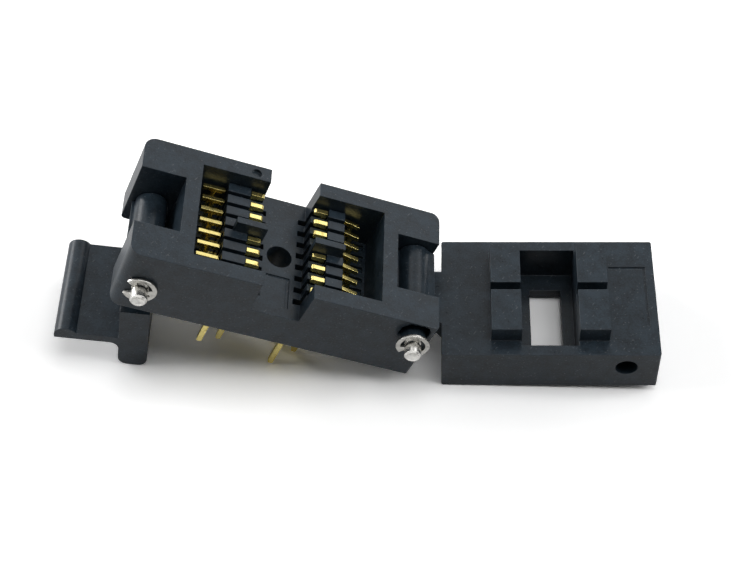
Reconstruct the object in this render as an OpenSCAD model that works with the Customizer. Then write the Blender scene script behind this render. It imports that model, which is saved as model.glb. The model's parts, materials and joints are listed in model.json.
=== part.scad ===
// Open clamshell test socket for a 16-lead, 1.27 mm pitch small-outline package.
// Millimetres. +X runs from the latch lever to the lid, +Y to the rear, +Z up from the bench.
// The socket stands as photographed: lid laid open, housing tipped back onto the latch lever's foot.

/* [Stance] */
// Angle by which the hinge end of the housing dips below the bench plane
base_tilt = 20.6; // [14:0.1:26]
// Angle by which the free end of the open lid is lifted off the bench
lid_lift = 2.25; // [0:0.05:4]
// Lean of the latch lever's foot away from upright
lever_lean = 7.8; // [2:0.1:9]

/* [Housing] */
// Length of the moulded housing, latch end to hinge end
base_length = 27.6; // [27.2:0.1:29]
// Depth of the housing, front to rear
base_depth = 12.9; // [12.4:0.1:14]
// Height of the housing from its board face to the tower tops
base_height = 7.44; // [7.2:0.02:8.4]
// Radius of the upright corners at the latch end
latch_end_radius = 1.1; // [0.5:0.05:1.8]
// Radius of the rear upright corner at the hinge end
hinge_rear_radius = 0.85; // [0.2:0.05:1.2]
// Radius of the front upright corner at the hinge end
hinge_front_radius = 0.3; // [0.1:0.05:0.4]
// Radius of the lower corner at the latch end
heel_radius = 0.4; // [0.3:0.1:1.2]

/* [Seat channel] */
// Width of the open channel at the tower tops
channel_top = 4.58; // [4.4:0.02:4.8]
// Width of the channel at its floor
channel_floor = 4.34; // [4:0.02:4.38]
// Depth of the channel floor below the tower tops
channel_depth = 3.68; // [3.4:0.02:3.8]
// Diameter of the hole in the middle of the channel floor
centre_hole_d = 2.3; // [1.6:0.05:2.8]
// Width and depth of the mould-insert line in the channel floor
insert_line = 0.28; // [0.15:0.01:0.4]

/* [Towers] */
// Distance from the middle to the outer wall of each contact pocket
pocket_reach = 8.47; // [8.2:0.01:8.8]
// Depth of each contact pocket, front to rear
pocket_depth = 9.96; // [9.86:0.02:10.2]
// Level of the shelf under the contact noses, below the tower tops
shelf_level = 2.05; // [1.98:0.01:2.4]
// Level of the pit floor behind the bridge teeth, below the tower tops
pit_level = 4.9; // [4.4:0.05:5.1]
// Near side of the bridge teeth, from the middle
tooth_near = 3.66; // [3.64:0.01:3.8]
// Far side of the bridge teeth on the latch side, from the middle
tooth_far = 5.72; // [5.4:0.01:5.76]
// The same on the hinge side, where the teeth are shorter
tooth_far_hinge = 5.2; // [5.1:0.01:5.24]
// Width of one bridge tooth
tooth_width = 0.87; // [0.82:0.01:0.95]
// Level of the tooth tops below the tower tops
tooth_level = 1.38; // [1.36:0.01:1.42]
// Thickness of the bridge over each contact slot
tooth_bridge = 0.4; // [0.3:0.01:0.46]
// Thickness of the key fin in the middle of each contact row
fin_width = 0.6; // [0.4:0.02:0.64]
// Outer end of each key fin, from the middle
fin_reach = 4.95; // [4.6:0.05:5]
// Level of the fin tops below the tower tops
fin_level = 0.12; // [0.1:0.01:0.5]
// Diameter of the lead-one dimple
dimple_d = 0.9; // [0.6:0.05:1]
// Depth of the lead-one dimple
dimple_depth = 0.3; // [0.1:0.05:0.5]

/* [Ends] */
// Length of the open gap at each end
gap_length = 3.98; // [3.9:0.01:4.1]
// Width of each end gap, front to rear
gap_width = 6; // [5.6:0.05:6.2]
// Distance from the hinge end to the hinge pin
hinge_inset = 1.62; // [1.55:0.01:1.7]
// Depth of the hinge pin below the tower tops
hinge_drop = 2.12; // [2.05:0.01:2.3]
// Distance from the latch end to the latch pin
latch_inset = 2.03; // [1.95:0.01:2.1]
// Depth of the latch pin below the tower tops
latch_drop = 4.4; // [4.3:0.01:4.5]
// Depth of the moulded relief above each end of the hinge pin
relief_depth = 0.9; // [0.4:0.05:1.2]
// How far the hinge pin and its bearing faces sit towards the front
hinge_shift = 0.56; // [0.3:0.02:0.7]

/* [Pins and rings] */
// Diameter of both pins
pin_d = 1.5; // [1.3:0.05:1.5]
// How far each pin stands out of what it bears in
pin_stand = 1.45; // [1.2:0.05:2]
// Chamfer on the ends of both pins
pin_chamfer = 0.14; // [0.05:0.01:0.2]
// Outside diameter of the retaining rings
ring_d = 3; // [2.8:0.05:3.1]
// Thickness of the retaining rings
ring_thick = 0.3; // [0.2:0.02:0.4]
// Diameter of the ring grooves in the pins
groove_d = 1.2; // [1:0.05:1.25]

/* [Contacts] */
// Lead pitch of the package
pitch = 1.27; // [1.25:0.01:1.28]
// Thickness of a blanked contact
contact_thick = 0.42; // [0.36:0.01:0.46]
// Inner end of the contact nose, from the middle
nose_near = 2.34; // [2.32:0.01:2.4]
// Length of the flat contact nose
nose_length = 1.24; // [1.1:0.01:1.27]
// Level of the contact noses below the tower tops
nose_level = 1.4; // [1.38:0.01:1.44]
// Height of the contact nose
nose_height = 0.5; // [0.4:0.01:0.56]
// Width of the contact's spring strip
strip = 0.44; // [0.36:0.01:0.5]
// Radius of the contact's spring loop, to its outside
loop_radius = 1.45; // [1.3:0.01:1.5]
// Level of the outer test strip below the tower tops
strip_level = 1.92; // [1.85:0.01:2.1]
// Inner end of the outer test strip on the latch side, from the middle
strip_near = 5.86; // [5.82:0.01:6]
// Length of the outer test strip on the latch side
strip_length = 2; // [1.7:0.02:2.2]
// Inner end of the outer test strip on the hinge side, from the middle
strip_near_hinge = 5.34; // [5.3:0.01:5.5]
// Length of the outer test strip on the hinge side
strip_length_hinge = 1.5; // [1.3:0.02:2]
// Level of the contact feet below the tower tops
foot_level = 5.2; // [5.15:0.01:5.4]
// Distance from the middle to the inner row of tails
tail_inner = 2.54; // [2.45:0.01:2.7]
// Distance from the middle to the outer row of tails
tail_outer = 4.445; // [4.2:0.005:4.6]
// Width of a tail blade
tail_width = 0.5; // [0.4:0.01:0.56]
// Length of the inner tails below the board face
tail_inner_length = 5.7; // [3:0.05:5.75]
// Length of the outer tails below the board face
tail_outer_length = 4.9; // [3:0.05:5.4]

/* [Lid] */
// Distance from the hinge pin to the near end of the lid
lid_near = 2.5; // [2.3:0.05:2.8]
// Length of the lid
lid_length = 19.39; // [19.2:0.01:19.45]
// Depth of the lid, front to rear
lid_depth = 12.82; // [12.2:0.02:13.6]
// Thickness of the lid
lid_thick = 4.7; // [4.66:0.01:4.74]
// Radius of the lid's upright corners
lid_radius = 0.2; // [0.1:0.05:0.6]
// Nearer side of the pusher pads, from the lid's middle
pad_near = 2.55; // [2.5:0.01:2.7]
// Width of one pusher pad
pad_width = 2.7; // [2.5:0.01:2.8]
// Height of the pusher pads above the lid's inner face
pad_height = 1.7; // [1.5:0.01:1.7]
// Depth of the pusher pads, front to rear
pad_depth = 9.7; // [9.4:0.02:9.72]
// Width of the key slot in each pusher pad
key_slot = 0.82; // [0.8:0.01:1]
// Depth of the package recess, front to rear
recess_depth_y = 10.8; // [10:0.05:11]
// Thickness of the lid skin under the recess
skin = 0.95; // [0.6:0.05:1.2]
// Width of the window in the skin
window_width = 2.9; // [2.4:0.05:3.2]
// Depth of the window, front to rear
window_depth = 6.3; // [5:0.05:6.6]
// How far the window's middle sits to the rear of the lid's middle
window_shift = 0.45; // [0:0.05:0.6]
// Diameter of the cross hole near the lid's free end
cross_hole_d = 2; // [1.6:0.05:2.2]
// Distance from the hinge pin to the cross hole
cross_hole_x = 18.96; // [18.6:0.02:19.6]
// Depth of the cross hole below the lid's inner face
cross_hole_drop = 1.9; // [1.7:0.02:2.4]
// Depth of the groove that the latch bead drops into
catch_depth = 0.56; // [0.5:0.01:0.6]

/* [Latch lever] */
// Width of the lever, front to rear
lever_width = 10.2; // [9.4:0.05:10.6]
// Distance of the leg's front face from the pin, hinge side
leg_inner = 0.92; // [0.86:0.01:1.1]
// Distance of the leg's back face from the pin, outer side
leg_outer = 1.7; // [1.55:0.01:1.75]
// Distance below the pin at which the lever widens
shoulder_drop = 5.6; // [5.2:0.05:5.8]
// Radius of the leg's foot corners
foot_radius = 0.9; // [0.5:0.05:1.2]
// Thickness of the hook plate
plate_thick = 0.85; // [0.7:0.01:0.95]
// Distance from the pin to the middle of the hook bead
bead_x = 6.4; // [6.1:0.05:6.6]
// Radius of the hook bead
bead_radius = 1.05; // [0.95:0.01:1.15]
// Height of the bead above the hook plate
bead_rise = 0.55; // [0.45:0.01:0.65]
// Radius of the fillet between hook plate and leg
hook_fillet = 0.8; // [0.4:0.05:1.2]

/* [Clearances] */
// Running clearance around a pin, on the radius
pin_clear = 0.05; // [0.03:0.01:0.08]
// Clearance of a pin fixed in the housing, on the radius
press_clear = 0.01; // [0.01:0.005:0.03]
// Side clearance of a knuckle between its ears
knuckle_clear = 0.1; // [0.05:0.01:0.2]
// Gap between the closed lid and the tower tops
close_gap = 0.42; // [0.4:0.01:0.5]
// Gap at the lid's open stop
stop_gap = 0.05; // [0.03:0.01:0.08]
// Gap between the latch bead and its groove
catch_gap = 0.06; // [0.05:0.01:0.12]
// Side clearance of a contact in its slot
slot_clear = 0.08; // [0.05:0.01:0.1]
// Clearance of a tail in the housing floor
tail_clear = 0.03; // [0.02:0.01:0.05]
// Clearance between a retaining ring and what it sits on
ring_clear = 0.04; // [0.02:0.01:0.06]

/* [Hidden] */
$fn = 64;
per_side = 8;
over = 1;
front = -1;
rear = 1;
moulded = "#3d4247";
gold = "#d9b45a";
steel = "#c9c9c6";

first_contact = 9;

// A point [x, z] turned about +Y.
function turned(p, angle) = [p[0] * cos(angle) + p[1] * sin(angle), p[1] * cos(angle) - p[0] * sin(angle)];
// Where contact number i of a row sits, counted from the rear.
function row_y(i) = ((per_side - 1) / 2 - i) * pitch;
// Contacts alternate between the two tail rows; the two sides are each other turned half round.
function is_inner(i, side) = (i % 2 == 0) == (side < 0);
function tail_x(i, side) = is_inner(i, side) ? tail_inner : tail_outer;
function tail_end(i, side) = base_height + (is_inner(i, side) ? tail_inner_length : tail_outer_length);
// Far side of the teeth and span of the test strips on each side: -1 is the latch side, 1 the hinge side.
function teeth_end(side) = side < 0 ? tooth_far : tooth_far_hinge;
function strip_start(side) = side < 0 ? strip_near : strip_near_hinge;
function strip_run(side) = side < 0 ? strip_length : strip_length_hinge;

half_length = base_length / 2;
half_depth = base_depth / 2;
hinge_x = half_length - hinge_inset;
latch_x = half_length - latch_inset;
gap_reach = half_length - gap_length;
bearing_radius = ring_d / 2 - 0.35;
spotface_radius = hinge_inset + 0.2;
open_tilt = base_tilt + lid_lift;
lid_drop = hinge_drop + close_gap;
lid_outside = lid_drop + lid_thick;
lid_far = lid_near + lid_length;
knuckle_width = gap_width - 2 * knuckle_clear;
knuckle_radius = pin_d / 2 + 0.65;
slot_width = contact_thick + 2 * slot_clear;
bead_tip = latch_drop + close_gap + lid_thick - catch_depth + catch_gap;
plate_level = bead_tip + bead_rise;
bead_z = bead_tip + bead_radius;
ring_y = half_depth + ring_clear + ring_thick / 2;

// The lid rests on its near lower edge, and the lever's foot is cut to the height that leaves.
lid_foot = turned([lid_near, -lid_outside], -lid_lift);
hinge_at_z = -lid_foot[1];
hinge_to_latch = turned([-latch_x - hinge_x, hinge_drop - latch_drop], base_tilt);
latch_at_z = hinge_at_z + hinge_to_latch[1];
leg_corner_x = leg_inner - foot_radius;
leg_corner_z = (latch_at_z - foot_radius - leg_corner_x * sin(lever_lean)) / cos(lever_lean);
leg_end = leg_corner_z + foot_radius;
left_end = hinge_to_latch[0] + turned([-bead_x, -bead_z], lever_lean)[0] - bead_radius;
right_end = turned([lid_far, -lid_outside], -lid_lift)[0];
hinge_at = [-(left_end + right_end) / 2, hinge_at_z];
latch_at = hinge_at + hinge_to_latch;
base_at = hinge_at - turned([hinge_x, -hinge_drop], base_tilt);
// The hinge pin's shift moves everything else to the rear by half as much, so that y = 0 stays in the middle.
middle_y = hinge_shift / 2;

module at_housing() {
    translate([base_at[0], middle_y, base_at[1]]) rotate([0, base_tilt, 0]) children();
}

module at_lid() {
    translate([hinge_at[0], middle_y, hinge_at[1]]) rotate([0, -lid_lift, 0]) children();
}

module at_lever() {
    translate([latch_at[0], middle_y, latch_at[1]]) rotate([0, lever_lean, 0]) children();
}

// Extrudes an XZ outline along Y, centred on y = 0.
module along_y(width) {
    rotate([90, 0, 0]) translate([0, 0, -width / 2]) linear_extrude(width) children();
}

module rounded_plan(length, depth, radius) {
    square([length - 2 * radius, depth], center = true);
    square([length, depth - 2 * radius], center = true);
    for (sx = [-1, 1], sy = [-1, 1])
        translate([sx * (length / 2 - radius), sy * (depth / 2 - radius)]) circle(radius);
}

module block(x0, x1, depth, z0, z1) {
    translate([x0, -depth / 2, z0]) cube([x1 - x0, depth, z1 - z0]);
}

// A side's own features are drawn on +X: the latch side is mirrored.
module on_side(side) {
    mirror([side < 0 ? 1 : 0, 0, 0]) children();
}

// Plan of the housing: a rectangle with a different radius at each kind of corner.
module housing_plan() {
    corners = [
        [-1, -1, latch_end_radius], [-1, 1, latch_end_radius],
        [1, 1, hinge_rear_radius], [1, -1, hinge_front_radius]
    ];
    difference() {
        square([base_length, base_depth], center = true);
        for (c = corners)
            translate([c[0] * (half_length - c[2]), c[1] * (half_depth - c[2])]) difference() {
                translate([c[0] * (c[2] + over) / 2, c[1] * (c[2] + over) / 2]) square(c[2] + over, center = true);
                circle(c[2]);
            }
    }
}

// Side view of the housing: a plain block with a rounded lower corner at the latch end.
module housing_outline() {
    polygon([
        [-half_length, 0], [-half_length, heel_radius - base_height],
        [heel_radius - half_length, -base_height], [half_length, -base_height], [half_length, 0]
    ]);
    intersection() {
        translate([heel_radius - half_length, heel_radius - base_height]) circle(heel_radius);
        translate([-half_length, -base_height]) square(heel_radius);
    }
}

module seat_channel() {
    along_y(base_depth + 2 * over) polygon([
        [-channel_floor / 2, -channel_depth], [channel_floor / 2, -channel_depth],
        [channel_top / 2, 0], [channel_top / 2, over], [-channel_top / 2, over], [-channel_top / 2, 0]
    ]);
}

// Opening over the shelf, and the deeper pit behind the teeth.
module contact_pocket(side) {
    block(channel_floor / 2 - over, pocket_reach, pocket_depth, -shelf_level, over);
    block(teeth_end(side), pocket_reach, pocket_depth, -pit_level, over);
}

module bridge_teeth(side) {
    for (i = [0 : per_side - 1])
        translate([0, row_y(i), 0]) block(tooth_near, teeth_end(side), tooth_width, -shelf_level, -tooth_level);
}

module key_fin() {
    block(channel_floor / 2, fin_reach, fin_width, -shelf_level, -fin_level);
}

// Each contact drops into its own slot, which also notches the channel floor's edge.
module contact_slots(side) {
    under_bridge = tooth_level + tooth_bridge;
    for (i = [0 : per_side - 1]) translate([0, row_y(i), 0]) {
        block(channel_floor / 2 - 0.65, tooth_near, slot_width, -foot_level - tail_clear, -shelf_level + over);
        block(tooth_near - over, teeth_end(side) + over, slot_width, -foot_level - tail_clear, -under_bridge);
        block(teeth_end(side), pocket_reach - 0.2, slot_width, -foot_level - tail_clear, -shelf_level);
        translate([tail_x(i, side), 0, 0])
            block(-tail_width / 2 - tail_clear, tail_width / 2 + tail_clear,
                  contact_thick + 2 * tail_clear, -base_height - over, -foot_level);
    }
}

// Dark slits that part the teeth down to the slot floors.
module tooth_slits(side) {
    slit = pitch - tooth_width;
    for (i = [0 : per_side - 2])
        if (i != per_side / 2 - 1)
            translate([0, row_y(i) - pitch / 2, 0])
                block(tooth_near, teeth_end(side) + 0.1, slit, -shelf_level - 1.2, -shelf_level + over);
}

// L-shaped line that a mould insert leaves in the channel floor.
module insert_mark() {
    mark_half = 1.1;
    mark_rear = -2.4;
    mark_front = -5.4;
    translate([-mark_half, mark_rear, -channel_depth - insert_line / 2])
        cube([2 * mark_half, insert_line, insert_line]);
    translate([mark_half - insert_line, mark_front, -channel_depth - insert_line / 2])
        cube([insert_line, mark_rear - mark_front, insert_line]);
}

// Moulded relief in both faces above the hinge pin, which leaves the pin's bearing boss standing.
module hinge_relief() {
    left = -hinge_inset + 0.15;
    right = hinge_inset - 0.52;
    rise = hinge_drop - 0.2;
    for (face = [front, rear])
        translate([0, face * (half_depth - relief_depth / 2), 0]) along_y(relief_depth + 0.002) difference() {
            polygon([
                [left, 0], [right, 0], [right, 0.75 * rise], [0.7 * right, rise], [0.6 * left, rise], [left, 0.6 * rise]
            ]);
            circle(bearing_radius);
        }
}

module pin_bore(radius) {
    along_y(base_depth + 2 * over) circle(radius);
}

module housing() {
    color(moulded) at_housing() difference() {
        union() {
            difference() {
                intersection() {
                    along_y(base_depth) housing_outline();
                    translate([0, 0, -base_height - over])
                        linear_extrude(base_height + over) housing_plan();
                }
                seat_channel();
                for (side = [-1, 1]) on_side(side) contact_pocket(side);
            }
            for (side = [-1, 1]) on_side(side) {
                bridge_teeth(side);
                key_fin();
            }
            translate([hinge_x, -hinge_shift, -hinge_drop]) along_y(base_depth) circle(bearing_radius);
        }
        for (side = [-1, 1]) on_side(side) {
            contact_slots(side);
            tooth_slits(side);
        }
        block(gap_reach, half_length + over, gap_width, -base_height - over, over);
        block(-half_length - over, -gap_reach, gap_width, -base_height - over, over);
        translate([0, 0, -base_height - over]) cylinder(d = centre_hole_d, h = base_height);
        translate([-3.63, half_depth - 0.85, -dimple_depth]) cylinder(d = dimple_d, h = dimple_depth + over);
        insert_mark();
        translate([hinge_x, 0, -hinge_drop]) pin_bore(pin_d / 2 + press_clear);
        translate([-latch_x, 0, -latch_drop]) pin_bore(pin_d / 2 + press_clear);
        translate([hinge_x, 0, -hinge_drop]) hinge_relief();
        translate([hinge_x, base_depth - hinge_shift, -hinge_drop]) along_y(base_depth) circle(spotface_radius);
    }
}

// Barrel that turns on a pin between two ears.
module knuckle() {
    along_y(knuckle_width) circle(knuckle_radius);
}

// The lid's neck: down from the barrel to the near end of the lid.
module lid_neck() {
    shoulder = 1.85;
    along_y(knuckle_width) polygon([
        [0, knuckle_radius * 0.6], [knuckle_radius * 0.8, knuckle_radius * 0.5], [shoulder, 0], [shoulder, -lid_drop],
        [lid_near + 0.2, -lid_drop], [lid_near + 0.2, -lid_drop - 2.6], [0.2, -knuckle_radius * 0.9]
    ]);
}

// Heel that meets the housing's gap wall at the open stop.
module open_stop() {
    reach = hinge_x - gap_reach - stop_gap;
    rotate([0, open_tilt, 0]) block(-reach, 0, knuckle_width, -1, 0);
}

module pusher_pad() {
    difference() {
        block(pad_near, pad_near + pad_width, pad_depth, -over, pad_height);
        block(pad_near - over, pad_near + pad_width + over, key_slot, 0, pad_height + over);
    }
}

// L-shaped line that a mould insert leaves on the lid's free end.
module lid_mark() {
    mark_x = lid_far - 0.75;
    mark_half = 3.2;
    translate([mark_x - 3.4, mark_half, -insert_line / 2]) cube([3.4, insert_line, insert_line]);
    translate([mark_x - insert_line, -mark_half, -insert_line / 2]) cube([insert_line, 2 * mark_half, insert_line]);
}

module lid() {
    groove_radius = 2.2;
    groove_end = 0.25;
    color(moulded) at_lid() difference() {
        union() {
            translate([lid_near + lid_length / 2, 0, -lid_outside])
                linear_extrude(lid_thick) rounded_plan(lid_length, lid_depth, lid_radius);
            for (side = [-1, 1]) translate([hinge_x, 0, -lid_drop]) on_side(side) pusher_pad();
            lid_neck();
            knuckle();
            open_stop();
        }
        translate([hinge_x, 0, 0]) {
            block(-pad_near, pad_near, recess_depth_y, skin - lid_outside, over);
            translate([0, window_shift, 0])
                block(-window_width / 2, window_width / 2, window_depth, -lid_outside - over, 0);
        }
        translate([cross_hole_x, 0, -lid_drop - cross_hole_drop])
            along_y(lid_depth + 2 * over) circle(d = cross_hole_d);
        translate([hinge_x + latch_x - bead_x, 0, -lid_outside - groove_radius + catch_depth])
            along_y(lever_width + 2 * groove_end) circle(groove_radius);
        translate([0, 0, -lid_drop]) lid_mark();
        pin_bore(pin_d / 2 + pin_clear);
    }
}

// Side view of the wide part of the lever: leg, hook plate with its bead, and the fillet between them.
module hook_outline() {
    plate_under = plate_level + plate_thick;
    translate([-leg_outer, foot_radius - leg_end]) square([leg_outer + leg_inner, leg_end - foot_radius - shoulder_drop]);
    translate([foot_radius - leg_outer, -leg_end]) square([leg_outer + leg_inner - 2 * foot_radius, foot_radius]);
    for (x = [foot_radius - leg_outer, leg_inner - foot_radius])
        translate([x, foot_radius - leg_end]) circle(foot_radius);
    translate([-bead_x, -plate_under]) square([bead_x, plate_thick]);
    intersection() {
        translate([-bead_x, -bead_z]) circle(bead_radius);
        translate([-bead_x - bead_radius, -plate_under]) square(2 * bead_radius);
    }
    difference() {
        translate([-leg_outer - hook_fillet, -plate_under - hook_fillet]) square(hook_fillet + 0.1);
        translate([-leg_outer - hook_fillet, -plate_under - hook_fillet]) circle(hook_fillet);
    }
}

module latch_lever() {
    color(moulded) at_lever() difference() {
        union() {
            along_y(lever_width) hook_outline();
            along_y(knuckle_width) translate([-leg_outer, -shoulder_drop - 0.1])
                square([leg_outer + leg_inner, shoulder_drop + 0.1]);
            knuckle();
        }
        pin_bore(pin_d / 2 + pin_clear);
    }
}

// Steel pin turned with chamfered ends and a ring groove near each end.
module grooved_pin() {
    radius = pin_d / 2;
    reach = half_depth + pin_stand;
    inner_edge = ring_y - ring_thick / 2 - ring_clear;
    outer_edge = ring_y + ring_thick / 2 + ring_clear;
    half_view = [
        [radius, inner_edge], [groove_d / 2, inner_edge], [groove_d / 2, outer_edge], [radius, outer_edge],
        [radius, reach - pin_chamfer], [radius - pin_chamfer, reach], [0, reach]
    ];
    other_half = [for (i = [len(half_view) - 1 : -1 : 0]) [half_view[i][0], -half_view[i][1]]];
    rotate([90, 0, 0]) rotate_extrude() polygon(concat(other_half, half_view));
}

module hinge_pin() {
    color(steel) at_housing() translate([hinge_x, -hinge_shift, -hinge_drop]) grooved_pin();
}

module latch_pin() {
    color(steel) at_housing() translate([-latch_x, 0, -latch_drop]) grooved_pin();
}

// E-shaped retaining ring with its mouth at the bottom, gripping the groove with three prongs.
module retaining_ring() {
    band = 0.42;
    prong = 0.5;
    mouth = groove_d - 0.1;
    along_y(ring_thick) difference() {
        union() {
            difference() {
                circle(d = ring_d);
                circle(d = ring_d - 2 * band);
            }
            for (turn = [0, 125, 235])
                rotate(turn) translate([-prong / 2, 0]) square([prong, ring_d / 2 - band / 2]);
        }
        circle(d = groove_d + 2 * ring_clear);
        polygon([[-mouth / 2, 0], [mouth / 2, 0], [mouth * 0.75, -ring_d], [-mouth * 0.75, -ring_d]]);
    }
}

module hinge_ring(face) {
    color(steel) at_housing() translate([hinge_x, face * ring_y - hinge_shift, -hinge_drop]) retaining_ring();
}

// The latch rings are pressed on from the latch end.
module latch_ring(face) {
    color(steel) at_housing() translate([-latch_x, face * ring_y, -latch_drop])
        rotate([0, 90, 0]) retaining_ring();
}

// Side view of one blanked contact: nose, spring loop, foot bar, test strip and tail.
module contact_outline(tail, tail_bottom, start, run) {
    tail_top = foot_level - strip / 2;
    loop_z = foot_level - loop_radius - 0.02;
    loop_top = loop_z - loop_radius;
    nose_far = nose_near + nose_length;
    loop_x = nose_far - strip;
    tip = 0.08;
    translate([nose_near + nose_height / 2, -nose_level - nose_height])
        square([nose_length - nose_height / 2, nose_height]);
    translate([nose_near + nose_height / 2, -nose_level - nose_height / 2]) circle(d = nose_height);
    translate([loop_x, -loop_top - strip / 2])
        square([strip, loop_top + strip / 2 - nose_level - nose_height / 2]);
    intersection() {
        translate([loop_x, -loop_z]) difference() {
            circle(loop_radius);
            circle(loop_radius - strip);
        }
        translate([loop_x, -loop_z - loop_radius]) square([loop_radius, 2 * loop_radius]);
    }
    translate([tail_inner - tail_width / 2, -foot_level])
        square([start + run / 2 + strip / 2 - tail_inner + tail_width / 2, strip]);
    translate([start + run / 2 - strip / 2, -foot_level]) square([strip, foot_level - strip_level]);
    translate([start, -strip_level - strip]) square([run, strip]);
    translate([tail - tail_width / 2, 2 * tip - tail_bottom]) square([tail_width, tail_bottom - 2 * tip - tail_top]);
    translate([tail, -tail_bottom]) polygon([
        [tip - tail_width / 2, 0], [tail_width / 2 - tip, 0],
        [tail_width / 2, 2 * tip], [tail_width / 2, 3 * tip], [-tail_width / 2, 3 * tip], [-tail_width / 2, 2 * tip]
    ]);
}

// Contacts 0 to 7 run down the latch side from the rear, 8 to 15 down the hinge side.
module contact(number) {
    side = number < per_side ? -1 : 1;
    i = number % per_side;
    color(gold) at_housing() translate([0, row_y(i), 0]) on_side(side) along_y(contact_thick)
        contact_outline(tail_x(i, side), tail_end(i, side), strip_start(side), strip_run(side));
}

housing();
lid();
latch_lever();
hinge_pin();
latch_pin();
hinge_ring(front);  // hinge_ring_front
hinge_ring(rear);  // hinge_ring_rear
latch_ring(front);  // latch_ring_front
latch_ring(rear);  // latch_ring_rear
for (number = [0 : 2 * per_side - 1])
    contact(number);
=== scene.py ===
"""Looks of an open clamshell test socket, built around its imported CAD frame.

Lengths are metres in the CAD frame: +X runs from the latch lever to the lid, +Y to the rear and +Z up from
the bench.
"""

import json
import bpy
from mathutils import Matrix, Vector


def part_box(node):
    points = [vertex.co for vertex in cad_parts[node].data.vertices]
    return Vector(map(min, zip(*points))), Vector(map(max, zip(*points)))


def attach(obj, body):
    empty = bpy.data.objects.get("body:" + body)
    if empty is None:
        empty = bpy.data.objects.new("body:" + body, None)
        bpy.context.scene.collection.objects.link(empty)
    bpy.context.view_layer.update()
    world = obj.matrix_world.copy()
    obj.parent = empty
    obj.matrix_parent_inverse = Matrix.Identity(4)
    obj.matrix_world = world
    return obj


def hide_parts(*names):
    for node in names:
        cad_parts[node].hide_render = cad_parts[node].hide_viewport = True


bl_info = {
    "name": "Clamshell Test Socket",
    "version": (1, 0, 0),
    "blender": (4, 5, 0),
    "location": "View3D > Sidebar > Test Socket",
    "description": "Finishes, turned pins, sprung rings and a plain stage for an open clamshell test socket",
    "category": "Object",
}

import bmesh
import bpy
import numpy as np
from mathutils import Matrix, Vector

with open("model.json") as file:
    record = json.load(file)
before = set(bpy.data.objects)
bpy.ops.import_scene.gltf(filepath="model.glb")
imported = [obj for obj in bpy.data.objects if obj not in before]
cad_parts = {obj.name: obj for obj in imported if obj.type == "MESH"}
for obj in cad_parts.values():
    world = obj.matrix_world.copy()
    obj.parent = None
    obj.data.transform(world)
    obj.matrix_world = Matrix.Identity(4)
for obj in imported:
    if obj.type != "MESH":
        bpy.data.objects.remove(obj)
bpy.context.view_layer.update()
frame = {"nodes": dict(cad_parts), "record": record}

MM = 0.001

# Each moulding's material, and how light it is against the housing; the lever's extra lightness is painted
# light.
MOULDINGS = {
    "housing": ("housing_plastic", 1.0),
    "lid": ("lid_plastic", 0.9),
    # Painted light: the lever is made lighter to stand in for light from the latch end that falls on it.
    "latch_lever": ("lever_plastic", 1.05),
}

CONTACT_COUNT = 16
CONTACTS = [f"contact_{number:02d}" for number in range(1, CONTACT_COUNT + 1)]
# Height of the housing's top above the record's place of the centre bore.
BORE_DEPTH = 5.5 * MM
# A contact's test strip is what lies further than this from the housing's middle, and above this height,
# which is taken from the housing's top.
STRIP_NEAR = 5.3 * MM
STRIP_UNDER = -2.4 * MM
# Points of a copied CAD mesh that are closer than this are one point.
MERGE_REACH = 0.0005 * MM

# The way that each pin's rings open, in degrees from +X towards +Z.
MOUTHS = {"hinge_pin": 249.4, "latch_pin": 159.4}
# Faces that meet at a larger angle than this keep a sharp edge.
SHARP_ANGLE = np.radians(38.0)
# Bevel on the shoulders of a pin's ring grooves.
SHOULDER_BEVEL = 0.03 * MM
# Circles of points on a pin's dished end, as shares of its radius.
DISH_CIRCLES = np.array([0.86, 0.75, 0.5, 0.25, 0.06])
# Gap between a ring's prongs and the bottom of the groove.
GRIP_GAP = 0.04 * MM
# Angle over which a prong's flank rises.
PRONG_FLANK = np.radians(5.0)
# How far the middle of a jaw's prong stands from the jaw's end, as a share of half a prong.
JAW_PRONG = 0.7

# The camera that was fitted to the photograph: its place, and its directions to the right and backwards.
CAMERA_PLACE = (0.002289, -0.0911, 0.12591)
CAMERA_RIGHT = (0.99968, 0.02375, 0.01053)
CAMERA_BACK = (0.00613, -0.60896, 0.79318)
CAMERA_NEAR = 0.01
SENSOR_WIDTH = 36.0

# Half the floor's side, and how far it lies below the bench.
FLOOR_REACH = 1.5
FLOOR_DROP = 0.02 * MM
# Each lamp's place, its width and height, and the setting that holds its power.
LAMPS = {
    "overhead_softbox": ((0.08, -0.02, 0.48), (0.3, 0.3), "top_power"),
    "back_softbox": ((0.1, 0.42, 0.36), (0.7, 0.26), "back_power"),
    "lid_end_softbox": ((0.41, 0.0, 0.28), (0.28, 0.35), "lid_power"),
    "latch_end_softbox": ((-0.42, 0.13, 0.2), (0.4, 0.22), "latch_power"),
}
LAMP_AIM = (0.0, 0.0, 0.006)
# Parts of a direction, from 0 to 1, between which the surroundings dim: its height and X for the ceiling, and
# its X for the lid end.
CEILING_HEIGHTS = (0.56, 0.78)
CEILING_SIDES = (-0.25, 0.15)
LID_END_SIDES = (0.58, 0.7)
WHITE = (1.0, 1.0, 1.0, 1.0)


def length(name, description, default_mm):
    """A length property, given in millimetres."""
    return bpy.props.FloatProperty(
        name=name, description=description, default=default_mm * MM, min=0.0, precision=6, unit="LENGTH"
    )


def angle(name, description, default_degrees):
    """An angle property, given in degrees."""
    return bpy.props.FloatProperty(
        name=name, description=description, default=np.radians(default_degrees), subtype="ANGLE"
    )


def share(name, description, default):
    """A number from 0 to 1."""
    return bpy.props.FloatProperty(
        name=name, description=description, default=default, min=0.0, max=1.0, subtype="FACTOR"
    )


def power(name, description, default):
    """A lamp's power, in watts."""
    return bpy.props.FloatProperty(name=name, description=description, default=default, min=0.0, unit="POWER")


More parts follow.
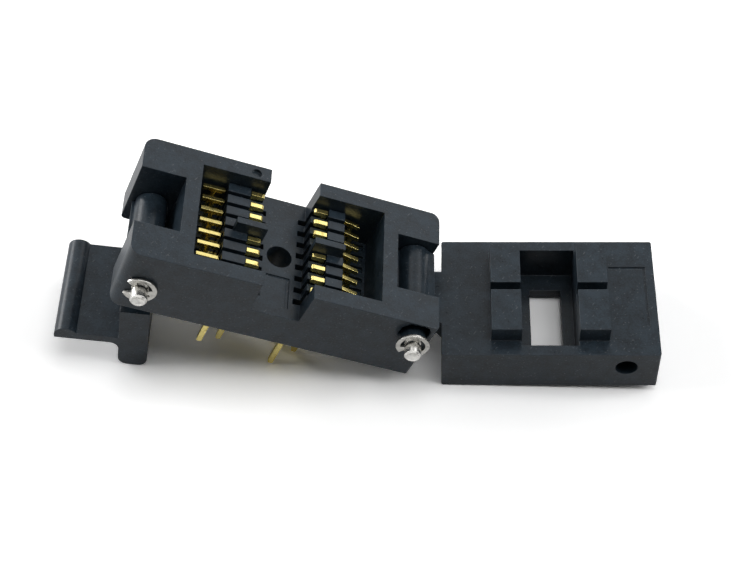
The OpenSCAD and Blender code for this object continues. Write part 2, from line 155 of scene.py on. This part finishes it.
def colour(name, description, default):
    """A linear colour."""
    return bpy.props.FloatVectorProperty(
        name=name, description=description, default=default, size=3, min=0.0, max=1.0, subtype="COLOR"
    )


class PlasticSettings(bpy.types.PropertyGroup):
    """The dark glass-filled moulding of the housing, lid and lever."""

    body: colour("Body", "Colour of the plastic itself", (0.015, 0.024, 0.033))
    fibre: colour("Fibre", "Colour of the glass fibres at the surface", (0.13, 0.14, 0.15))
    fibre_share: share("Fibre share", "Share of the surface cells that show a fibre", 0.5)
    fibre_size: length("Fibre spacing", "Distance across the fibres between neighbours", 0.34)
    fibre_stretch: share("Fibre slimness", "Width of a fibre as a share of its length", 0.22)
    mottle_size: length("Mottle", "Size of the cloudy patches", 1.3)
    grain_size: length("Grain", "Size of the moulded grain", 0.16)
    roughness: share("Roughness", "Mean roughness of the moulded skin", 0.31)
    gloss: share("Gloss", "Strength of the skin's reflection", 0.31)
    edge_radius: length("Edge radius", "Radius that the mould leaves on every edge", 0.09)
    # Painted edge highlight, partly edge wear: hollow and proud edges alike are made paler.
    edge_wear_and_highlight: share("Edge wear", "How much paler rubbed edges are", 0.35)


class GoldSettings(bpy.types.PropertyGroup):
    """The plated contacts."""

    bright: colour("Bright", "Colour of clean plating", (0.93, 0.78, 0.29))
    dull: colour("Dull", "Colour of plating dulled by handling", (0.50, 0.38, 0.11))
    dull_size: length("Dull patches", "Size of the dulled patches", 0.45)
    streak_size: length("Streaks", "Spacing of the blanking streaks", 0.05)
    roughness: share("Roughness", "Mean roughness of the plating", 0.2)
    strip_lean: angle("Strip lean", "How far the hinge side's test strips lean outwards", 12.0)
    strip_roll: angle("Strip roll", "How far all test strips tip to the rear", 12.5)


class SteelSettings(bpy.types.PropertyGroup):
    """The pins and retaining rings."""

    pin_chamfer: length("Pin chamfer", "Chamfer on each end of a pin", 0.14)
    pin_dish: length("Pin dish", "Depth of the dish in a pin's end face", 0.22)
    groove_radius: length("Groove radius", "Radius of a pin at the bottom of its ring grooves", 0.6)
    groove_width: length("Groove width", "Width of a ring groove", 0.38)
    ring_edge: length("Ring edge", "Radius of the rings' blanked edges", 0.07)
    ring_band: length("Ring band", "Radial width of the rings' band", 0.42)
    ring_prong: length("Ring prong", "Width of the prongs that grip the pin", 0.5)
    ring_outer: length("Ring radius", "Outside radius of the rings", 1.5)
    ring_mouth: length("Ring mouth", "Half width of the rings' open mouth", 0.84)
    pin: colour("Pin", "Colour of the turned pins", (0.72, 0.71, 0.68))
    ring: colour("Ring", "Colour of the sprung rings", (0.50, 0.49, 0.46))
    roughness: share("Roughness", "Mean roughness of the steel", 0.24)
    line_size: length("Turning lines", "Spacing of the turning lines", 0.04)


class StageSettings(bpy.types.PropertyGroup):
    """Camera, floor and lamps."""

    lens: bpy.props.FloatProperty(
        name="Lens",
        description="Focal length on a 36 mm wide sensor, in millimetres",
        default=80.46,
        min=1.0,
        unit="CAMERA",
    )
    floor: colour("Floor", "Colour of the floor", (0.65, 0.65, 0.65))
    floor_gain: bpy.props.FloatProperty(
        name="Floor gain",
        description="Times brighter that the camera sees the floor than it is",
        default=2.12,
        min=0.0,
    )
    floor_shine: share("Floor shine", "Share of that gain that metal and gloss show", 0.3)
    sky: share("Sky", "Brightness of the surroundings as light", 0.06)
    ceiling: share("Ceiling", "Brightness of the surroundings overhead, as metal and gloss show it", 0.3)
    lid_end: share("Lid end", "Brightness of the surroundings past the lid, as metal and gloss show it", 0.1)
    top_power: power("Overhead power", "Power of the softbox above the socket", 0.72)
    back_power: power("Back power", "Power of the wide softbox behind the socket", 0.46)
    lid_power: power("Lid side power", "Power of the softbox at the lid end", 1.3)
    latch_power: power("Latch side power", "Power of the softbox at the latch end", 1.9)


class Tone:
    """A shader value: arithmetic on it adds Math nodes to its material."""

    def __init__(self, finish, socket):
        self.finish = finish
        self.socket = socket

    def math(self, operation, *others):
        sockets = dict(enumerate((self,) + others))
        return self.finish.node("ShaderNodeMath", {"operation": operation}, sockets).out()

    def __add__(self, other):
        return self.math("ADD", other)

    def __sub__(self, other):
        return self.math("SUBTRACT", other)

    def __mul__(self, other):
        return self.math("MULTIPLY", other)

    def __gt__(self, other):
        return self.math("GREATER_THAN", other)

    def __rsub__(self, other):
        return (self * -1.0) + other

    __radd__ = __add__
    __rmul__ = __mul__

    def step(self, low, high):
        """0 below low, 1 above high, and a smooth rise between."""
        settings = {"interpolation_type": "SMOOTHSTEP"}
        sockets = {"Value": self, "From Min": low, "From Max": high}
        return self.finish.node("ShaderNodeMapRange", settings, sockets).out()


class Placed:
    """A node in a material, with its outputs as shader values."""

    def __init__(self, finish, node):
        self.finish = finish
        self.node = node

    def out(self, name=0):
        return Tone(self.finish, self.node.outputs[name])


class Finish:
    """A node material, or a world, that is being put together."""

    def __init__(self, name):
        self.material = bpy.data.materials.new(name)
        self.material.use_nodes = True
        self.start(self.material.node_tree)

    @classmethod
    def of(cls, world):
        """The same for a world's nodes."""
        made = cls.__new__(cls)
        made.start(world.node_tree)
        return made

    def start(self, tree):
        self.tree = tree
        tree.nodes.clear()

    def node(self, kind, settings=None, sockets=None):
        """Adds a node: its settings first, then the values or links of its sockets."""
        node = self.tree.nodes.new(kind)
        for name, value in (settings or {}).items():
            setattr(node, name, value)
        for name, value in (sockets or {}).items():
            socket = node.inputs[name]
            if isinstance(value, Tone):
                self.tree.links.new(value.socket, socket)
            else:
                socket.default_value = value
        return Placed(self, node)

    def place(self):
        """Object coordinates, which are the CAD frame's own."""
        return self.node("ShaderNodeTexCoord").out("Object")

    def stretched(self, vector, factors):
        """The coordinates scaled along each axis."""
        return self.node("ShaderNodeMapping", {}, {"Vector": vector, "Scale": factors}).out()

    def turned(self, vector, angles):
        """The coordinates turned by angles about X, Y and Z, in radians."""
        return self.node("ShaderNodeMapping", {}, {"Vector": vector, "Rotation": angles}).out()

    def noise(self, vector, size, detail, roughness=0.6):
        """Cloudy noise from 0 to 1 with features of the given size."""
        sockets = {"Vector": vector, "Scale": 1.0 / size, "Detail": detail, "Roughness": roughness}
        return self.node("ShaderNodeTexNoise", {}, sockets).out(0)

    def blend(self, factor, first, second):
        """Colour that goes from first to second as factor goes from 0 to 1."""
        node = self.node("ShaderNodeMix", {"data_type": "RGBA"}).node
        for socket in node.inputs:
            value = {"Factor_Float": factor, "A_Color": first, "B_Color": second}.get(socket.identifier)
            if isinstance(value, Tone):
                self.tree.links.new(value.socket, socket)
            elif value is not None:
                socket.default_value = value
        result = [socket for socket in node.outputs if socket.identifier == "Result_Color"][0]
        return Tone(self, result)

    def rounded_normal(self, radius, samples=6):
        """Normal of the surface with its edges rounded to the given radius."""
        return self.node("ShaderNodeBevel", {"samples": samples}, {"Radius": radius}).out("Normal")

    def edge(self, rounded):
        """How far the rounded normal turns from the face's own: 0 on flats, rising on edges."""
        own = self.node("ShaderNodeNewGeometry").out("Normal")
        product = self.node("ShaderNodeVectorMath", {"operation": "DOT_PRODUCT"}, {0: own, 1: rounded})
        return 1.0 - product.out("Value")

    def bump(self, height, distance, strength, normal):
        """The given normal, raised by a height field."""
        sockets = {"Height": height, "Distance": distance, "Strength": strength, "Normal": normal}
        return self.node("ShaderNodeBump", {}, sockets).out("Normal")

    def surface(self, sockets):
        """Principled surface from its sockets, joined to the output."""
        shader = self.node("ShaderNodeBsdfPrincipled", {}, sockets).out("BSDF")
        self.node("ShaderNodeOutputMaterial", {}, {"Surface": shader})
        return self.material


def shade(rgb, factor=1.0):
    """A colour with its brightness scaled, as RGBA."""
    return tuple(channel * factor for channel in rgb) + (1.0,)


def about_mean(noise, spread):
    """Noise from 0 to 1 as an equal rise and fall, with the given spread between its ends."""
    mean = 0.5
    return (noise - mean) * spread


def glass_fibres(finish, place, settings):
    """Short pale marks in three directions: 1 on a fibre and 0 elsewhere.

    Each direction stretches the cells of a Voronoi pattern, and a cell that shows a fibre has it round its
    middle.
    """
    off_axis = (0.5, 0.4, 0.65)
    core, rim = 0.06, 0.2
    oblique = finish.turned(place, off_axis)
    fibres = 0.0
    for axis in range(3):
        factors = [1.0, 1.0, 1.0]
        factors[axis] = settings.fibre_stretch
        sockets = {"Vector": finish.stretched(oblique, factors), "Scale": 1.0 / settings.fibre_size}
        cells = finish.node("ShaderNodeTexVoronoi", {"feature": "F1"}, sockets)
        chance = finish.node("ShaderNodeSeparateColor", {}, {0: cells.out("Color")}).out(0)
        shown = chance > 1.0 - settings.fibre_share
        fibres = fibres + (1.0 - cells.out("Distance").step(core, rim)) * shown * chance
    return fibres


def moulded_plastic(name, settings, lightness):
    """Dark moulding: cloudy body colour, scattered glass fibres, fine grain and edges paled by wear and
    painted highlight.
    """
    darkest, lightest, worn_highlight_shade = 0.66, 1.36, 3.2
    mottle_share, grain_share = 0.55, 0.45
    cloud_low, cloud_high = 0.36, 0.64
    edge_low, edge_high = 0.02, 0.3
    fibre_show = 0.45
    mottle_spread, grain_spread = 0.1, 0.12
    mottle_height, fibre_height = 0.4, 0.25
    skin_depth, skin_strength = 0.03 * MM, 0.35
    finish = Finish(name)
    place = finish.place()
    mottle = finish.noise(place, settings.mottle_size, detail=4.0)
    grain = finish.noise(place, settings.grain_size, detail=2.0)
    fibres = glass_fibres(finish, place, settings)
    rounded = finish.rounded_normal(settings.edge_radius)
    # Painted edge highlight, partly edge wear: the colour pales on every rounded edge, hollow ones too.
    worn_and_highlit = finish.edge(rounded).step(edge_low, edge_high) * settings.edge_wear_and_highlight
    cloud = (mottle * mottle_share + grain * grain_share).step(cloud_low, cloud_high)
    dark = shade(settings.body, darkest * lightness)
    light = shade(settings.body, lightest * lightness)
    body = finish.blend(cloud, dark, light)
    # Paler edges: partly wear, partly a painted highlight.
    body = finish.blend(worn_and_highlit, body, shade(settings.body, worn_highlight_shade))
    body = finish.blend(fibres * fibre_show, body, shade(settings.fibre))
    roughness = settings.roughness + about_mean(mottle, mottle_spread) + about_mean(grain, grain_spread)
    height = grain + mottle * mottle_height + fibres * fibre_height
    normal = finish.bump(height, skin_depth, skin_strength, rounded)
    gloss = {"Specular IOR Level": settings.gloss}
    return finish.surface({"Base Color": body, "Roughness": roughness, "Normal": normal, **gloss})


def gold_plating(name, settings):
    """Bright plating with dulled patches and fine streaks across the blanked edge."""
    across = (0.12, 1.0, 0.12)
    patch_low, patch_high, patch_show = 0.48, 0.78, 0.7
    patch_roughness, streak_spread = 0.18, 0.1
    edge_radius = 0.06 * MM
    streak_depth, streak_strength = 0.006 * MM, 0.3
    finish = Finish(name)
    place = finish.place()
    patches = finish.noise(place, settings.dull_size, detail=3.0)
    streaks = finish.noise(finish.stretched(place, across), settings.streak_size, detail=2.0, roughness=0.5)
    dulled = patches.step(patch_low, patch_high) * patch_show
    plate = finish.blend(dulled, shade(settings.bright), shade(settings.dull))
    roughness = settings.roughness + dulled * patch_roughness + about_mean(streaks, streak_spread)
    rounded = finish.rounded_normal(edge_radius)
    normal = finish.bump(streaks + patches, streak_depth, streak_strength, rounded)
    return finish.surface({"Base Color": plate, "Metallic": 1.0, "Roughness": roughness, "Normal": normal})


def turned_steel(name, settings, tint, lines):
    """Bright steel with fine lines of the given stretch and a little cloudy dulling."""
    cloud_size, cloud_low, cloud_high = 0.5 * MM, 0.35, 0.75
    clean, dulled = 1.08, 0.72
    cloud_spread, line_spread = 0.2, 0.12
    edge_radius = 0.05 * MM
    line_depth, line_strength = 0.004 * MM, 0.3
    finish = Finish(name)
    place = finish.place()
    cloud = finish.noise(place, cloud_size, detail=3.0)
    line = finish.noise(finish.stretched(place, lines), settings.line_size, detail=2.0, roughness=0.5)
    steel = finish.blend(cloud.step(cloud_low, cloud_high), shade(tint, clean), shade(tint, dulled))
    roughness = settings.roughness + about_mean(cloud, cloud_spread) + about_mean(line, line_spread)
    rounded = finish.rounded_normal(edge_radius)
    normal = finish.bump(line, line_depth, line_strength, rounded)
    return finish.surface({"Base Color": steel, "Metallic": 1.0, "Roughness": roughness, "Normal": normal})


def grid_piece(name, points, material):
    """Closed mesh from a grid of points that wraps in its second parameter, with a face over each end.

    points has shape (steps, around, 3). Quads join neighbours along both parameters, so the faces point
    outwards where the second parameter turns right-handedly about the direction of the first.
    """
    steps, around = points.shape[:2]
    index = np.arange(steps * around).reshape(steps, around)
    beside = np.roll(index, -1, axis=1)
    quads = np.stack((index[:-1], beside[:-1], beside[1:], index[1:]), axis=-1).reshape(-1, 4)
    faces = quads.tolist() + [index[0, ::-1].tolist(), index[-1].tolist()]
    mesh = bpy.data.meshes.new(name)
    mesh.from_pydata(points.reshape(-1, 3).tolist(), [], faces)
    mesh.shade_smooth()
    mesh.set_sharp_from_angle(angle=SHARP_ANGLE)
    mesh.materials.append(material)
    piece = bpy.data.objects.new(name, mesh)
    bpy.context.scene.collection.objects.link(piece)
    return piece


def pin_profile(reach, radius, groove_at, settings):
    """Half of a pin's side view as (distance from its middle, radius) pairs, from the middle out.

    The groove drops to its own radius between two short shoulders, the end carries a straight chamfer, and
    the end face sinks by the dish times one less the square of the share of its radius.
    """
    near = groove_at - settings.groove_width / 2
    far = groove_at + settings.groove_width / 2
    face = radius - settings.pin_chamfer
    body = np.array([
        (0.0, radius),
        (near - SHOULDER_BEVEL, radius),
        (near, radius - SHOULDER_BEVEL),
        (near, settings.groove_radius),
        (far, settings.groove_radius),
        (far, radius - SHOULDER_BEVEL),
        (far + SHOULDER_BEVEL, radius),
        (reach - settings.pin_chamfer, radius),
        (reach, face),
    ])
    dish = np.stack((reach - settings.pin_dish * (1.0 - DISH_CIRCLES ** 2), face * DISH_CIRCLES), axis=-1)
    return np.concatenate((body, dish))


def turned_pin(name, node, ring_nodes, settings, material, sides=96):
    """A pin turned about the Y axis.

    x is r sin a and z is r cos a, with r from the side view and the angle a right round.
    """
    low, high = (np.array(corner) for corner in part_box(node))
    middle = (low + high) / 2
    reach = (high[1] - low[1]) / 2
    rings = np.mean([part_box(ring_node) for ring_node in ring_nodes], axis=1)
    groove_at = np.ptp(rings[:, 1]) / 2
    half = pin_profile(reach, (high[0] - low[0]) / 2, groove_at, settings)
    profile = np.concatenate((half[::-1] * (-1.0, 1.0), half[1:]))
    turn = np.linspace(0.0, 2.0 * np.pi, sides, endpoint=False)
    along, radius = profile[:, :1], profile[:, 1:]
    turned = np.stack((radius * np.sin(turn), along + 0.0 * turn, radius * np.cos(turn)), axis=-1)
    piece = grid_piece(name, turned + middle, material)
    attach(piece, "base")
    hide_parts(node)


def rounded_section(edge, corner_steps=5):
    """Outline of a rounded section, right round: each point's corner as two signs, and its offset there.

    Each corner is a quarter circle: the section's half sizes less the edge radius, times the signs, give its
    middle, and the offset is the edge radius times the cosine and sine of the quarter's angle.
    """
    quarter = np.linspace(0.0, np.pi / 2, corner_steps)
    corners = np.array([(1, 1), (-1, 1), (-1, -1), (1, -1)])
    turns = quarter + np.arange(len(corners))[:, None] * np.pi / 2
    offsets = edge * np.stack((np.cos(turns), np.sin(turns)), axis=-1)
    signs = np.repeat(corners[:, None, :], corner_steps, axis=1)
    return signs.reshape(-1, 2), offsets.reshape(-1, 2)


def sprung_ring(name, node, pin_node, mouth_angle, settings, material, steps=361):
    """An E-shaped ring: a rounded section carried round an arc that leaves the mouth open.

    At each angle the section runs from the inner radius to the outer one. The inner radius is the band's, and
    drops to the pin groove's at three prongs, one behind each jaw's end and one opposite the mouth. The drop
    is a smooth step of the angle on each side of a prong.
    """
    middle = np.mean(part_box(pin_node), axis=0)
    low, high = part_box(node)
    middle[1] = (low[1] + high[1]) / 2
    thick = high[1] - low[1]
    outer = settings.ring_outer
    inner = outer - settings.ring_band
    grip = settings.groove_radius + GRIP_GAP
    half_mouth = np.arcsin(settings.ring_mouth / outer)
    from_mouth = np.linspace(half_mouth, 2.0 * np.pi - half_mouth, steps)
    half_prong = np.arcsin(settings.ring_prong / (grip + inner))
    jaw = half_mouth + JAW_PRONG * half_prong
    prongs = np.array((jaw, np.pi, 2.0 * np.pi - jaw))
    off = np.abs(from_mouth[:, None] - prongs).min(axis=1)
    rise = np.clip((off - half_prong) / PRONG_FLANK + 0.5, 0.0, 1.0)
    near = grip + (inner - grip) * rise ** 2 * (3.0 - 2.0 * rise)
    signs, offsets = rounded_section(settings.ring_edge)
    half_radial = (outer - near)[:, None] / 2 - settings.ring_edge
    radius = (outer + near)[:, None] / 2 + signs[:, 0] * half_radial + offsets[:, 0]
    across = signs[:, 1] * (thick / 2 - settings.ring_edge) + offsets[:, 1] + 0.0 * radius
    turn = from_mouth[:, None] + mouth_angle
    points = np.stack((radius * np.cos(turn), across, radius * np.sin(turn)), axis=-1)
    piece = grid_piece(name, points + middle, material)
    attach(piece, "base")
    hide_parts(node)


def housing_axes():
    """Middle of the housing's top, and its directions to the hinge and up, from the record's centre bore."""
    bore = next(mount for mount in frame["record"]["mounts"] if mount["name"] == "centre_bore")
    up = np.array(bore["axis"]) / np.linalg.norm(bore["axis"])
    out = np.array((up[2], 0.0, -up[0]))
    top = np.array(bore["pos_m"]) + BORE_DEPTH * up
    return top, out, up


def merged_copy(node):
    """A copy of a CAD node's mesh with its loose triangles joined."""
    mesh = frame["nodes"][node].data.copy()
    merged = bmesh.new()
    merged.from_mesh(mesh)
    bmesh.ops.remove_doubles(merged, verts=merged.verts, dist=MERGE_REACH)
    merged.to_mesh(mesh)
    merged.free()
    return mesh


def leaning_contact(node, settings, material):
    """A contact whose test strip tips to the rear, and on the hinge side leans outwards too.

    It copies the CAD contact. Points of the strip, which are those past its near end and above its underside,
    move along the housing's own height by the tangent of each angle times their distance from the middle of
    the strip, outwards for the lean and to the rear for the roll.
    """
    top, out, up = housing_axes()
    mesh = merged_copy(node)
    points = np.empty(3 * len(mesh.vertices))
    mesh.vertices.foreach_get("co", points)
    points = points.reshape(-1, 3)
    reach = (points - top) @ out
    height = (points - top) @ up
    on_strip = (np.abs(reach) > STRIP_NEAR) & (height > STRIP_UNDER)
    place = np.stack((reach, points[:, 1]), axis=-1)
    middle = (place[on_strip].min(axis=0) + place[on_strip].max(axis=0)) / 2
    lean = settings.strip_lean if middle[0] > 0.0 else 0.0
    fall = (place - middle) @ np.tan((lean, settings.strip_roll))
    fall = np.where(on_strip, fall, 0.0)
    mesh.vertices.foreach_set("co", (points - fall[:, None] * up).ravel())
    mesh.update()
    mesh.materials.clear()
    mesh.materials.append(material)
    piece = bpy.data.objects.new(f"{node}_leaning", mesh)
    bpy.context.scene.collection.objects.link(piece)
    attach(piece, "base")
    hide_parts(node)


def dress(node, material):
    """Gives a CAD node a material."""
    mesh = frame["nodes"][node].data
    mesh.materials.clear()
    mesh.materials.append(material)


class TESTSOCKET_OT_mouldings(bpy.types.Operator):
    """Finish the three mouldings in dark glass-filled plastic"""

    bl_idname = "test_socket.mouldings"
    bl_label = "Mouldings"

    def execute(self, context):
        settings = context.scene.test_socket_plastic
        for node, (name, lightness) in MOULDINGS.items():
            dress(node, moulded_plastic(name, settings, lightness))
        return {"FINISHED"}


class TESTSOCKET_OT_contacts(bpy.types.Operator):
    """Make the sixteen contacts with their tipped test strips, in gold plating"""

    bl_idname = "test_socket.contacts"
    bl_label = "Contacts"

    def execute(self, context):
        settings = context.scene.test_socket_gold
        gold = gold_plating("contact_gold", settings)
        for node in CONTACTS:
            leaning_contact(node, settings, gold)
        return {"FINISHED"}


class TESTSOCKET_OT_steelwork(bpy.types.Operator):
    """Make the pins and retaining rings, in bright steel"""

    bl_idname = "test_socket.steelwork"
    bl_label = "Pins and rings"

    def execute(self, context):
        settings = context.scene.test_socket_steel
        round_the_pin, along_the_pin = (0.1, 1.0, 0.1), (1.0, 0.1, 1.0)
        pin_steel = turned_steel("pin_turned_steel", settings, settings.pin, round_the_pin)
        ring_steel = turned_steel("ring_sprung_steel", settings, settings.ring, along_the_pin)
        for pin_node, mouth in MOUTHS.items():
            mouth_angle = np.radians(mouth)
            ring_nodes = [pin_node.replace("pin", "ring_front"), pin_node.replace("pin", "ring_rear")]
            turned_pin(f"{pin_node}_turned", pin_node, ring_nodes, settings, pin_steel)
            for ring_node in ring_nodes:
                sprung_ring(f"{ring_node}_sprung", ring_node, pin_node, mouth_angle, settings, ring_steel)
        return {"FINISHED"}


def softbox(name, place, size, watts):
    """A rectangular lamp that faces the middle of the socket."""
    lamp = bpy.data.lights.new(name, "AREA")
    lamp.shape = "RECTANGLE"
    lamp.size, lamp.size_y = size
    lamp.energy = watts
    holder = bpy.data.objects.new(name, lamp)
    holder.visible_camera = False
    aim = Vector(LAMP_AIM) - Vector(place)
    holder.matrix_world = Matrix.Translation(place) @ aim.to_track_quat("-Z", "Y").to_matrix().to_4x4()
    bpy.context.scene.collection.objects.link(holder)


def seen_share(finish, reflected=1.0):
    """1 for what the camera sees, the given share for reflections, and 0 for what only gives light."""
    path = finish.node("ShaderNodeLightPath")
    direct = path.out("Is Camera Ray").math("MAXIMUM", path.out("Is Transmission Ray"))
    return direct.math("MAXIMUM", path.out("Is Glossy Ray") * reflected)


def pale_floor(settings):
    """Floor that keeps shadows, shown brighter to the camera and to reflections than it is as light."""
    finish = Finish("pale_floor")
    floor = finish.node("ShaderNodeBsdfDiffuse", {}, {"Color": shade(settings.floor)}).out()
    gained = shade(settings.floor, settings.floor_gain)
    bright = finish.node("ShaderNodeBsdfDiffuse", {}, {"Color": gained}).out()
    seen = seen_share(finish, settings.floor_shine)
    shown = finish.node("ShaderNodeMixShader", {}, {0: seen, 1: floor, 2: bright}).out()
    finish.node("ShaderNodeOutputMaterial", {}, {"Surface": shown})
    return finish.material


class TESTSOCKET_OT_stage(bpy.types.Operator):
    """Set up the camera, floor, surroundings and lamps"""

    bl_idname = "test_socket.stage"
    bl_label = "Stage"

    def execute(self, context):
        settings = context.scene.test_socket_stage
        scene = context.scene
        scene.view_settings.view_transform = "Standard"
        self.camera(scene, settings)
        self.floor(scene, settings)
        self.surroundings(scene, settings)
        for name, (place, size, setting) in LAMPS.items():
            softbox(name, place, size, getattr(settings, setting))
        return {"FINISHED"}

    def camera(self, scene, settings):
        """Camera that looks down on the socket from the front, as fitted to the photograph."""
        lens = bpy.data.cameras.new("photo_camera")
        lens.sensor_width = SENSOR_WIDTH
        lens.lens = settings.lens
        lens.clip_start = CAMERA_NEAR
        camera = bpy.data.objects.new("photo_camera", lens)
        back = Vector(CAMERA_BACK)
        up = back.cross(Vector(CAMERA_RIGHT)).normalized()
        right = up.cross(back)
        turn = Matrix((right, up, back)).transposed().to_4x4()
        camera.matrix_world = Matrix.Translation(CAMERA_PLACE) @ turn
        scene.collection.objects.link(camera)
        scene.camera = camera

    def floor(self, scene, settings):
        """A wide floor under the socket, as a grid of the two parameters x and y just below the bench."""
        side = np.linspace(-FLOOR_REACH, FLOOR_REACH, 2)
        x, y = np.meshgrid(side, side)
        points = np.stack((x, y, np.full_like(x, -FLOOR_DROP)), axis=-1).reshape(-1, 3)
        mesh = bpy.data.meshes.new("floor")
        mesh.from_pydata(points.tolist(), [], [(0, 1, 3, 2)])
        mesh.materials.append(pale_floor(settings))
        floor = bpy.data.objects.new("floor", mesh)
        scene.collection.objects.link(floor)

    def surroundings(self, scene, settings):
        """White surroundings that dim overhead and past the lid, and are only a faint even glow as light."""
        world = bpy.data.worlds.new("white_surroundings")
        world.use_nodes = True
        sky = Finish.of(world)
        way = sky.node("ShaderNodeTexCoord").out("Generated")
        parts = sky.node("ShaderNodeSeparateXYZ", {}, {0: way})
        overhead = parts.out("Z").step(*CEILING_HEIGHTS) * parts.out("X").step(*CEILING_SIDES)
        lid_end = parts.out("X").step(*LID_END_SIDES)
        ceiling_dims = overhead * (1.0 - settings.ceiling)
        lid_end_dims = lid_end * (1.0 - settings.lid_end)
        shown = 1.0 - ceiling_dims.math("MAXIMUM", lid_end_dims)
        strength = settings.sky + seen_share(sky) * (shown - settings.sky)
        background = sky.node("ShaderNodeBackground", {}, {"Color": WHITE, "Strength": strength}).out()
        sky.node("ShaderNodeOutputWorld", {}, {"Surface": background})
        scene.world = world


OPERATORS = (
    TESTSOCKET_OT_mouldings,
    TESTSOCKET_OT_contacts,
    TESTSOCKET_OT_steelwork,
    TESTSOCKET_OT_stage,
)
SETTINGS = {
    "test_socket_plastic": PlasticSettings,
    "test_socket_gold": GoldSettings,
    "test_socket_steel": SteelSettings,
    "test_socket_stage": StageSettings,
}


class TESTSOCKET_PT_panel(bpy.types.Panel):
    """Lists the socket's settings and operators"""

    bl_idname = "TESTSOCKET_PT_panel"
    bl_label = "Test Socket"
    bl_space_type = "VIEW_3D"
    bl_region_type = "UI"
    bl_category = "Test Socket"

    def draw(self, context):
        for operator in OPERATORS:
            self.layout.operator(operator.bl_idname)
        for name, group in SETTINGS.items():
            box = self.layout.box()
            for field in group.__annotations__:
                box.prop(getattr(context.scene, name), field)


def register():
    for cls in (*SETTINGS.values(), *OPERATORS, TESTSOCKET_PT_panel):
        bpy.utils.register_class(cls)
    for name, group in SETTINGS.items():
        setattr(bpy.types.Scene, name, bpy.props.PointerProperty(type=group))


def unregister():
    for name in SETTINGS:
        delattr(bpy.types.Scene, name)
    for cls in reversed((*SETTINGS.values(), *OPERATORS, TESTSOCKET_PT_panel)):
        bpy.utils.unregister_class(cls)


def main():
    register()
    bpy.ops.test_socket.mouldings()
    bpy.ops.test_socket.contacts()
    bpy.ops.test_socket.steelwork()
    bpy.ops.test_socket.stage()


if __name__ == "__main__":
    main()
